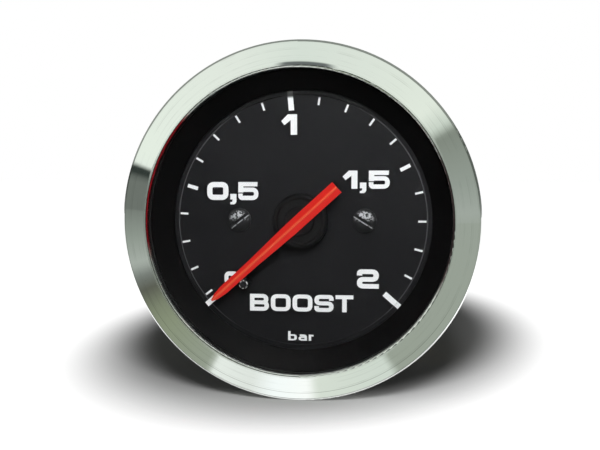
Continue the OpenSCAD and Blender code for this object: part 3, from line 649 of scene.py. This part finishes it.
def glyph_strokes(letter, w, t):
    """Strokes and areas of a letter in a cell that is w wide and 1 high, drawn t thick."""
    l, r, b, top, m = t / 2, w - t / 2, t / 2, 1 - t / 2, 0.5
    low = 0.66 - t / 2
    shapes = {
        "0": [("loop", [(l, b), (r, b), (r, top), (l, top)])],
        "1": [("area", [(0, 0.667), (0.2 * w, 0.474), (0.6 * w, 0.72), (0.6 * w, 0), (w, 0),
                        (w, 1), (0.42 * w, 1)])],
        "2": [("line", [(l, 0.68), (l, top), (r, top), (r, m - 0.02), (l, m - 0.02), (l, b),
                        (w, b)])],
        "5": [("area", [(0, 0.42), (0, 1), (w - 0.04, 1), (w - 0.06, 1 - t), (0.28, 1 - t),
                        (0.28, 0.42)]),
              ("line", [(0.14, 0.575), (r, 0.575), (r, b), (l, b), (l, 0.36)])],
        ",": [("area", [(0, 0.34), (w, 0.34), (w, -0.08), (0.88 * w, -0.18), (0.6 * w, -0.24),
                        (0, -0.24), (0, -0.12), (0.3 * w, -0.1), (0.38 * w, 0.03), (0, 0.03)])],
        "B": [("line", [(l, 0), (l, 1)]),
              ("line", [(t, top), (r - 0.03, top), (r - 0.03, m), (t, m)]),
              ("line", [(t, m), (r, m), (r, b), (t, b)])],
        "S": [("line", [(r, 0.66), (r, top), (l, top), (l, m), (r, m), (r, b), (l, b),
                        (l, 0.34)])],
        "T": [("line", [(0, top), (w, top)]), ("line", [(w / 2, 0), (w / 2, 1 - t)])],
        "b": [("line", [(l, 0), (l, 1)]), ("line", [(t, low), (r, low), (r, b), (t, b)])],
        "a": [("line", [(l, low), (r, low), (r, 0)]),
              ("line", [(r, 0.38), (l, 0.38), (l, b), (r - t / 2, b)])],
        "r": [("line", [(l, 0), (l, 0.66)]), ("line", [(t, low - 0.02), (r, low - 0.02)])],
    }
    shapes["O"] = shapes["0"]
    return shapes[letter]


# How wide and how heavy the letters are, and the arc of their corners
WIDTHS = {"0": 1.167, "1": 0.785, "2": 0.98, "5": 1.097, ",": 0.34, "B": 0.98, "O": 1.02,
          "S": 0.98, "T": 0.9, "b": 0.6, "a": 0.58, "r": 0.42}
HEAVIER = {"0": 1.2}
CORNER_R, CORNER_STEPS = 0.24, 6
# Strokes of a letter that cross lie this far above each other, in mm
STROKE_STEP, STROKE_LAYERS = 0.0006, 4


def rounded(path, closed):
    """The path with its corners turned into arcs."""
    points = [Vector(p) for p in path]
    out = []
    for i, here in enumerate(points):
        if not closed and i in (0, len(points) - 1):
            out.append(here)
            continue
        before, after = points[i - 1], points[(i + 1) % len(points)]
        cut = min(CORNER_R, (before - here).length / 2, (after - here).length / 2)
        start = here + (before - here).normalized() * cut
        end = here + (after - here).normalized() * cut
        for k in range(CORNER_STEPS + 1):
            s = k / CORNER_STEPS
            out.append((1 - s) ** 2 * start + 2 * s * (1 - s) * here + s * s * end)
    return out


def add_stroke(points, faces, path, thick, closed, to_dial):
    """A flat ribbon along a path, mitred at its corners."""
    n = len(path)
    start = len(points)
    for i, here in enumerate(path):
        before = path[i - 1] if closed or i else here
        after = path[(i + 1) % n] if closed or i < n - 1 else here
        a = (here - before).normalized() if here != before else (after - here).normalized()
        b = (after - here).normalized() if after != here else a
        normal_a, normal_b = Vector((-a.y, a.x)), Vector((-b.y, b.x))
        mitre = (normal_a + normal_b).normalized()
        mitre /= max(mitre.dot(normal_a), 0.5)
        for side in (-thick / 2, thick / 2):
            points.append(to_dial(here + mitre * side))
    for i in range(n if closed else n - 1):
        a, b = start + 2 * i, start + 2 * ((i + 1) % n)
        faces.append((a, b, b + 1, a + 1))


def add_word(points, faces, rise, word, low, high, thick, gap=0.1):
    """A word in the box from low to high on the dial, in mm.

    thick and gap are shares of the letters' height.
    """
    cell = [WIDTHS[c] for c in word]
    total = sum(cell) + gap * (len(word) - 1)
    wide, tall = high[0] - low[0], high[1] - low[1]
    at = 0.0
    layer = 0
    for letter, w in zip(word, cell):
        heavy = thick * HEAVIER.get(letter, 1.0)
        for kind, path in glyph_strokes(letter, w, heavy):
            closed = kind == "loop"
            layer += 1
            lift = rise + STROKE_STEP * (layer % STROKE_LAYERS)

            def to_dial(p, shift=at, lift=lift):
                x = low[0] + (shift + p.x) / total * wide
                return placed(x, low[1] + p.y * tall, DIAL_FRONT + lift)

            if kind == "area":
                faces.append(tuple(range(len(points), len(points) + len(path))))
                points.extend(to_dial(Vector(p)) for p in path)
            else:
                add_stroke(points, faces, rounded(path, closed), heavy, closed, to_dial)
        at += w + gap


def print_words(name, words):
    """Prints words, each with its box, the thickness of its strokes and its gap if need be."""
    rise = bpy.context.scene.gauge_dial.ink_rise * MM_PER_M
    points, faces = [], []
    for word in words:
        add_word(points, faces, rise, *word)
    print_on_dial(name, points, faces)


class GAUGE_OT_numbers(Operator):
    """Prints the numbers of the scale on the dial"""
    bl_idname = "gauge.numbers"
    bl_label = "Numbers"

    def execute(self, context):
        print_words("scale_numbers", (
            ("1", (-3.45, 14.5), (-0.75, 17.95), 0.24),
            ("0,5", (-16.3, 3.42), (-7.4, 6.5), 0.24),
            ("1,5", (6.98, 5.4), (14.9, 8.45), 0.24, 0.13),
            ("2", (9.45, -11.45), (13.15, -8.2), 0.24),
            ("0", (-13.35, -11.1), (-10.85, -8.85), 0.27)))
        return {"FINISHED"}


class GAUGE_OT_words(Operator):
    """Prints plain words for what the gauge shows, and its unit"""
    bl_idname = "gauge.words"
    bl_label = "Plain words"

    def execute(self, context):
        print_words("plain_words", (
            ("BOOST", (-8.9, -15.55), (8.85, -12.65), 0.23),
            ("bar", (-2.3, -20.55), (2.3, -18.95), 0.17, 0.12)))
        return {"FINISHED"}


# Shares of the pointer's height where the painted highlight along its ridge begins and where it is
# full
RIDGE_HIGHLIGHT_SHARES = (0.88, 0.98)
# Where the flank in painted shade passes into the flank painted as lit, across the ridge, in metres
LIT_FLANK_CHANGE = (-0.0001, 0.0001)


class GAUGE_OT_pointer(Operator):
    """Paints the pointer and its hub"""
    bl_idname = "gauge.pointer"
    bl_label = "Pointer and hub"

    def execute(self, context):
        looks = context.scene.gauge_pointer
        zero = context.scene.gauge_scale.zero_angle
        material, sheet, shader = new_finish("pointer_paint")
        x, y, z = sheet.split(sheet.place())
        low, high = box_mm("pointer")
        ridge = sheet.band(y, [-(low[2] + share * (high[2] - low[2])) / MM_PER_M
                               for share in RIDGE_HIGHLIGHT_SHARES])
        # one flank is painted lighter than the other, as a lit side beside a shaded one
        across = sheet.plus(sheet.times(x, -math.sin(zero)), sheet.times(z, math.cos(zero)))
        tone = sheet.mix(sheet.band(across, LIT_FLANK_CHANGE), tuple(looks.paint),
                         shaded(looks.paint, 1.25))
        # painted highlight along the ridge
        tone = sheet.mix(ridge, tone, tuple(looks.ridge))
        grain = sheet.group("fine_grain")
        tone = sheet.mix(sheet.times(grain["Mottle"], 0.25), tone, shaded(looks.paint, 0.8))
        sheet.join(tone, shader.inputs["Base Color"])
        fill(shader, Specular_IOR_Level=0.3)
        surface(sheet, shader, grain["Height"], 0.38, 0.1, 0.4, 3e-6)
        dress(material, "pointer")
        dress(grained("hub_paint", (0.0028, 0.0028, 0.0030), (0.0018, 0.0018, 0.0020), 0.45,
                      grains=6.0, depth=2e-6, spec=0.15), "pointer_hub")
        return {"FINISHED"}


def above_dial(*heights):
    """Places along Y, in metres, of heights above the dial in mm."""
    return [-(DIAL_FRONT + height) / MM_PER_M for height in heights]


BLACKENED = (0.008, 0.008, 0.009)
# The place of each dial screw along X, in metres, and the angle of its slot in degrees
SLOTS = ((-0.0107, 38.0), (0.0107, -32.0))
HEAD_REACH = (0.003, 0.0025)
# The painted highlight along the slot's lower lip: how far it lies below the slot's middle, and its
# half width, in metres
LIP_DROP, LIP_WIDTH = 0.00034, (0.00012, 0.00004)
# The painted highlight on the stop pin's rim: shares of its radius, and how far back from its
# front, in metres
PIN_HIGHLIGHT_SHARES, PIN_HIGHLIGHT_DEPTH = (0.70, 0.82), (0.0003, 0.0002)


class GAUGE_OT_dial_fixings(Operator):
    """Blackens the dial screws and the stop pin, with painted highlights in places"""
    bl_idname = "gauge.dial_fixings"
    bl_label = "Dial screws and stop pin"

    def execute(self, context):
        self.screws()
        self.pin()
        return {"FINISHED"}

    def screws(self):
        """Black screws with painted highlights: bright specks on the upper half and a bright line
        along the slot's lower lip.
        """
        material, sheet, shader = new_finish("blackened_steel")
        grain = sheet.group("fine_grain", Grains_per_mm=9.0)["Height"]
        specks = sheet.group("fine_grain", Grains_per_mm=2.6)["Height"]
        x, y, z = sheet.split(sheet.place())
        # painted highlight: bright metal specks only on the upper, front part of each head
        painted_highlight = sheet.times(sheet.band(z, (-0.0003, 0.0008)),
                             sheet.band(y, above_dial(0.45, 0.75)),
                             sheet.band(specks, (0.42, 0.56)))
        top = sheet.band(y, above_dial(0.3, 0.5))
        patchy = sheet.band(specks, (0.3, 0.5))
        for place, slot_deg in SLOTS:
            turn = math.radians(slot_deg)
            beside = sheet.minus(x, place)
            across = sheet.minus(sheet.times(z, math.cos(turn)),
                                 sheet.times(beside, math.sin(turn)))
            # painted highlight along the slot's lower lip
            lip = sheet.times(sheet.near(across, -LIP_DROP, LIP_WIDTH),
                              sheet.near(x, place, HEAD_REACH), top, patchy)
            painted_highlight = sheet.larger(painted_highlight, sheet.times(lip, 0.9))
        sheet.join(sheet.mix(painted_highlight, BLACKENED, (0.52, 0.52, 0.55)), shader.inputs["Base Color"])
        sheet.join(sheet.times(painted_highlight, 0.9), shader.inputs["Metallic"])
        fill(shader, Specular_IOR_Level=0.3)
        surface(sheet, shader, grain, 0.28, 0.2, 1.0, 9e-5)
        dress(material, "dial_screws")

    def pin(self):
        """Black pin with a painted highlight: its front edge is bright metal here and there."""
        low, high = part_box("stop_pin")
        middle = tuple((low[k] + high[k]) / 2 for k in range(3))
        half = (high[0] - low[0]) / 2
        front = low[1] - middle[1]
        material, sheet, shader = new_finish("pin_steel")
        radius, along = axis_distance(sheet, middle)
        grain = sheet.group("fine_grain", Grains_per_mm=3.0)["Height"]
        # painted highlight: a broken bright ring along the pin's front edge
        rim = sheet.times(sheet.band(radius, [share * half for share in PIN_HIGHLIGHT_SHARES]),
                          sheet.band(grain, (0.45, 0.54)),
                          sheet.band(along, [front + depth for depth in PIN_HIGHLIGHT_DEPTH]))
        sheet.join(sheet.mix(rim, BLACKENED, (0.62, 0.62, 0.62)), shader.inputs["Base Color"])
        fill(shader, Specular_IOR_Level=0.2)
        surface(sheet, shader, grain, 0.35, 0.2, 0.5, 8e-6)
        dress(material, "stop_pin")


class GAUGE_OT_movement(Operator):
    """Gives the brass, steel and spring of the movement their finishes"""
    bl_idname = "gauge.movement"
    bl_label = "Movement"

    def execute(self, context):
        brass, dark_brass = (0.78, 0.56, 0.24), (0.55, 0.37, 0.14)
        steel, dark_steel = (0.62, 0.62, 0.60), (0.42, 0.42, 0.41)
        blue, dark_blue = (0.34, 0.40, 0.52), (0.22, 0.26, 0.36)
        dress(turned("movement_brass", brass, dark_brass, 0.3), "front_plate", "back_plate",
              "sector_gear", "link", "hairspring_collet", "hairspring_stud", "pillars",
              "dial_posts", "tube_tip", "pressure_tube", "socket_block")
        dress(turned("movement_steel", steel, dark_steel, 0.25), "pinion_arbor", "sector_arbor",
              "tail_pin", "pillar_nut", "block_screws")
        dress(turned("hairspring_steel", blue, dark_blue, 0.25), "hairspring")
        return {"FINISHED"}


class GAUGE_OT_case(Operator):
    """Paints the case black, with a fine texture and worn places"""
    bl_idname = "gauge.case"
    bl_label = "Case"

    def execute(self, context):
        dress(grained("case_paint", (0.022, 0.022, 0.023), (0.013, 0.013, 0.013), 0.42,
                      grains=4.0, depth=8e-6, wear=0.2, worn=(0.06, 0.06, 0.06)), "case")
        return {"FINISHED"}


class GAUGE_OT_rear_fittings(Operator):
    """Finishes the inlet's nuts, the studs and the washers"""
    bl_idname = "gauge.rear_fittings"
    bl_label = "Rear fittings"

    def execute(self, context):
        inlet_axis = (0.0, 0.0, -0.012)
        brass, dark_brass = (0.80, 0.60, 0.28), (0.58, 0.41, 0.17)
        zinc, dark_zinc = (0.70, 0.71, 0.70), (0.48, 0.49, 0.49)
        dress(turned("nut_brass", brass, dark_brass, 0.26, centre=inlet_axis), "case_nut",
              "union_nut", "olive")
        dress(turned("plated_steel", zinc, dark_zinc, 0.3), "stem_washer", "lock_washers",
              "left_thumb_nut", "right_thumb_nut", "clamp_bracket")
        dress(turned("stud_steel", zinc, dark_zinc, 0.3, thread=0.7), "case_studs")
        return {"FINISHED"}


class GAUGE_OT_lamp(Operator):
    """Finishes the lamp holder and its terminals"""
    bl_idname = "gauge.lamp"
    bl_label = "Lamp holder"

    def execute(self, context):
        dress(grained("holder_plastic", (0.02, 0.02, 0.02), (0.012, 0.012, 0.012), 0.5,
                      grains=6.0, depth=8e-6), "lamp_holder")
        dress(turned("terminal_brass", (0.78, 0.58, 0.26), (0.56, 0.39, 0.16), 0.3),
              "lamp_terminals")
        return {"FINISHED"}


# Stage

# Tones that the rim reflects, by the angle in degrees anticlockwise from the right
STUDIO_WALLS = [
    (180, (0.21, 0.235, 0.21)), (188, (0.31, 0.35, 0.31)), (196, (0.44, 0.48, 0.44)),
    (200, (0.20, 0.22, 0.20)), (204, (0.12, 0.125, 0.10)), (210, (0.23, 0.26, 0.18)),
    (216, (0.28, 0.32, 0.22)), (233, (0.34, 0.38, 0.31)), (235, (0.90, 0.95, 0.90)),
    (247, (0.84, 0.88, 0.84)), (254, (1.05, 1.1, 1.1)), (265, (1.1, 1.12, 1.1)),
    (268, (0.76, 0.82, 0.74)), (293, (0.70, 0.77, 0.70)), (295, (0.36, 0.40, 0.34)),
    (355, (0.36, 0.40, 0.35)), (0, (0.40, 0.44, 0.40)), (12, (0.33, 0.37, 0.33)),
    (32, (0.25, 0.28, 0.24)), (36, (0.66, 0.73, 0.65)), (44, (0.86, 0.92, 0.83)),
    (82, (0.80, 0.86, 0.79)), (98, (0.77, 0.84, 0.77)), (120, (0.86, 0.91, 0.84)),
    (164, (0.90, 0.97, 0.88)), (166.6, (0.88, 0.94, 0.87)), (167.2, (0.03, 0.04, 0.035)),
    (169.6, (0.04, 0.05, 0.045)), (170.4, (0.17, 0.19, 0.17)),
]
# Angles from straight in front, in degrees, where each part of the studio begins and is full
WALLS_BEGIN, WALLS_DIM = (20, 36), (67, 71)
LINE_BEGINS, LINE_ENDS = (80, 84), (116, 124)
DARK_ROOM, DIM_WALL, WHITE = (0.006, 0.006, 0.006), (0.03, 0.035, 0.03), (1.0, 1.0, 1.0)

# The ellipse round the shadow on the paper, beyond which the paper glows white as painted light:
# its middle and its half sizes in metres, and where the shadow ends as the glow comes in
SHADOW_MIDDLE, SHADOW_HALF, SHADOW_END = (-0.005, 0.072), (0.0595, 0.116), (0.62, 0.98)
# the paper is seen darker than the colour that lights the gauge, which deepens its shadow
SEEN_PAPER = (0.43, 0.43, 0.43)
FLOOR_LEFT, FLOOR_RIGHT, FLOOR_FRONT, FLOOR_BACK = -2, 2, -0.6, 3

LAMP_PLACE, LAMP_TARGET, LAMP_SIZE = Vector((0.020, -0.17, 0.088)), Vector((0, 0, -0.005)), 0.05

# The picture in pixels, and where the dial's middle lies in it
PICTURE_W, PICTURE_H = 600, 450
DIAL_X, DIAL_Y = 301.8, 220.3
SENSOR_MM = 36.0


class GAUGE_OT_stage(Operator):
    """Adds the floor, the lamp, the studio round the gauge and the camera"""
    bl_idname = "gauge.stage"
    bl_label = "Stage and camera"

    def execute(self, context):
        looks = context.scene.gauge_stage
        self.floor()
        self.lamp(context.scene, looks)
        self.studio(context.scene, looks)
        self.camera(context.scene, looks)
        context.scene.view_settings.view_transform = "Standard"
        return {"FINISHED"}

    def floor(self):
        """White paper that keeps the gauge's shadow and glows white beyond it, as painted light."""
        material, sheet, shader = new_finish("floor_paper")
        fill(shader, Roughness=0.9)
        grain = sheet.group("fine_grain")
        paper = sheet.mix(grain["Mottle"], (0.78, 0.78, 0.78), (0.82, 0.82, 0.82))
        rays = sheet.add("ShaderNodeLightPath").outputs
        sheet.join(sheet.mix(rays["Is Camera Ray"], paper, SEEN_PAPER),
                   shader.inputs["Base Color"])
        x, y, _ = sheet.split(sheet.place())
        # painted light: beyond an ellipse round the shadow the paper glows white for seen rays,
        # also where the lamp fades, so the ellipse sets where the shadow ends
        across, along = (sheet.math("DIVIDE", sheet.minus(value, middle), half)
                         for value, middle, half in zip((x, y), SHADOW_MIDDLE, SHADOW_HALF))
        from_middle = sheet.math("SQRT", sheet.plus(sheet.times(across, across),
                                                    sheet.times(along, along)))
        white = sheet.band(from_middle, SHADOW_END)
        seen = sheet.larger(rays["Is Camera Ray"],
                            sheet.larger(rays["Is Glossy Ray"], rays["Is Transmission Ray"]))
        painted_glow = fill(sheet.add("ShaderNodeEmission"), Strength=1.0)
        sheet.join(sheet.mix(white, (0.0, 0.0, 0.0), WHITE), painted_glow.inputs["Color"])
        lit = sheet.add("ShaderNodeAddShader")
        sheet.join(shader.outputs[0], lit.inputs[0])
        sheet.join(painted_glow.outputs[0], lit.inputs[1])
        paper_seen = sheet.mix_shader(seen, shader.outputs[0], lit.outputs[0])
        # the rim reflects the studio, not the paper that lies in front of it
        front = sheet.times(sheet.band(y, (-0.0035, -0.0055)), rays["Is Glossy Ray"])
        clear = sheet.add("ShaderNodeBsdfTransparent")
        sheet.show(sheet.mix_shader(front, paper_seen, clear.outputs[0]))
        z = -BEZEL_R / MM_PER_M
        corners = [(FLOOR_LEFT, FLOOR_FRONT, z), (FLOOR_RIGHT, FLOOR_FRONT, z),
                   (FLOOR_RIGHT, FLOOR_BACK, z), (FLOOR_LEFT, FLOOR_BACK, z)]
        new_object("floor", corners, [(0, 1, 2, 3)], material)

    def lamp(self, scene, looks):
        data = bpy.data.lights.new("key_lamp", "AREA")
        data.shape = "DISK"
        data.size = LAMP_SIZE
        data.energy = looks.key
        lamp = bpy.data.objects.new("key_lamp", data)
        lamp.location = LAMP_PLACE
        lamp.rotation_euler = (LAMP_TARGET - LAMP_PLACE).to_track_quat("-Z", "Y").to_euler()
        lamp.visible_glossy = False
        lamp.visible_camera = False
        scene.collection.objects.link(lamp)

    def studio(self, scene, looks):
        """Pale green-white above, grey-green walls, and a dark room behind the camera."""
        world = bpy.data.worlds.new("studio")
        world.use_nodes = True
        scene.world = world
        sheet = Sheet(world.node_tree)
        sheet.nodes.clear()
        sheet.add("ShaderNodeOutputWorld")
        x, y, z = sheet.split(sheet.add("ShaderNodeTexCoord").outputs["Generated"])
        rays = sheet.add("ShaderNodeLightPath").outputs
        through = rays["Is Transmission Ray"]

        gloss = fill(sheet.add("ShaderNodeBackground"), Strength=1.0)
        sheet.join(self.reflected(sheet, x, y, z), gloss.inputs["Color"])
        soft = fill(sheet.add("ShaderNodeBackground"), Strength=looks.fill_level)
        level = sheet.near(z, 0.0, (0.5, 0.2))
        sheet.join(sheet.mix(level, (0.12, 0.12, 0.12), WHITE), soft.inputs["Color"])
        white = fill(sheet.add("ShaderNodeBackground"), Color=(*WHITE, 1), Strength=1.0)
        lit = sheet.mix_shader(sheet.larger(rays["Is Glossy Ray"], through), soft.outputs[0],
                               gloss.outputs[0])
        # light that the glass throws back forwards comes from the dark room
        behind = sheet.times(through, sheet.band(y, (-0.1, 0.1)))
        direct = sheet.larger(rays["Is Camera Ray"], behind)
        sheet.show(sheet.mix_shader(direct, lit, white.outputs[0]))

    def reflected(self, sheet, x, y, z):
        """The colour that gloss sees in the direction x, y, z."""
        turn = sheet.math("ARCTAN2", z, x)
        turn = sheet.plus(sheet.math("DIVIDE", turn, 2 * math.pi), 0.5)
        walls = sheet.ramp(turn, [((deg % 360 - 180) % 360 / 360, tone)
                                  for deg, tone in STUDIO_WALLS])
        off_axis = sheet.math("ARCCOSINE", sheet.times(y, -1.0))
        lit, dim, begun, ended = (
            sheet.band(off_axis, [math.radians(deg) for deg in ends])
            for ends in (WALLS_BEGIN, WALLS_DIM, LINE_BEGINS, LINE_ENDS))
        line = sheet.math("SUBTRACT", begun, ended, clamp=True)
        below = sheet.band(z, (0.15, -0.25))
        colour = sheet.mix(lit, DARK_ROOM, walls)
        colour = sheet.mix(sheet.times(dim, 0.7), colour, DIM_WALL)
        return sheet.mix(sheet.times(line, below), colour, WHITE)

    def camera(self, scene, looks):
        """Looks at the dial's middle, which the shift puts in its place in the picture."""
        data = bpy.data.cameras.new("camera")
        data.sensor_width = SENSOR_MM
        data.lens = looks.lens_px / PICTURE_W * SENSOR_MM
        data.shift_x = -(DIAL_X - PICTURE_W / 2) / PICTURE_W
        data.shift_y = -(PICTURE_H / 2 - DIAL_Y) / PICTURE_W
        data.clip_start = 0.01
        camera = bpy.data.objects.new("camera", data)
        away = Vector((math.sin(looks.yaw) * math.cos(looks.pitch),
                       -math.cos(looks.yaw) * math.cos(looks.pitch), math.sin(looks.pitch)))
        camera.location = placed(0, 0, DIAL_FRONT) + away * looks.distance
        camera.rotation_euler = (-away).to_track_quat("-Z", "Y").to_euler()
        scene.collection.objects.link(camera)
        scene.camera = camera


SETTINGS = [("gauge_bezel", BezelLooks), ("gauge_dial", DialLooks), ("gauge_scale", ScaleSizes),
            ("gauge_pointer", PointerLooks), ("gauge_stage", StageLooks)]
STEPS = [GAUGE_OT_effects, GAUGE_OT_stage, GAUGE_OT_bezel, GAUGE_OT_glass, GAUGE_OT_dial,
         GAUGE_OT_scale, GAUGE_OT_numbers, GAUGE_OT_words, GAUGE_OT_pointer,
         GAUGE_OT_dial_fixings, GAUGE_OT_movement, GAUGE_OT_case, GAUGE_OT_rear_fittings,
         GAUGE_OT_lamp]


class GAUGE_PT_looks(Panel):
    """Sizes and colours of the gauge, and a button for each step"""
    bl_label = "Gauge looks"
    bl_idname = "GAUGE_PT_looks"
    bl_space_type = "VIEW_3D"
    bl_region_type = "UI"
    bl_category = "Gauge"

    def draw(self, context):
        for owner, _ in SETTINGS:
            looks = getattr(context.scene, owner)
            box = self.layout.box()
            for name in looks.__annotations__:
                box.prop(looks, name)
        for operator in STEPS:
            self.layout.operator(operator.bl_idname)


CLASSES = [group for _, group in SETTINGS] + STEPS + [GAUGE_PT_looks]


def register():
    for item in CLASSES:
        bpy.utils.register_class(item)
    for name, group in SETTINGS:
        setattr(bpy.types.Scene, name, PointerProperty(type=group))


def unregister():
    for name, _ in reversed(SETTINGS):
        delattr(bpy.types.Scene, name)
    for item in reversed(CLASSES):
        bpy.utils.unregister_class(item)


def main():
    register()
    for step in STEPS:
        family, name = step.bl_idname.split(".")
        getattr(getattr(bpy.ops, family), name)()


if __name__ == "__main__":
    main()
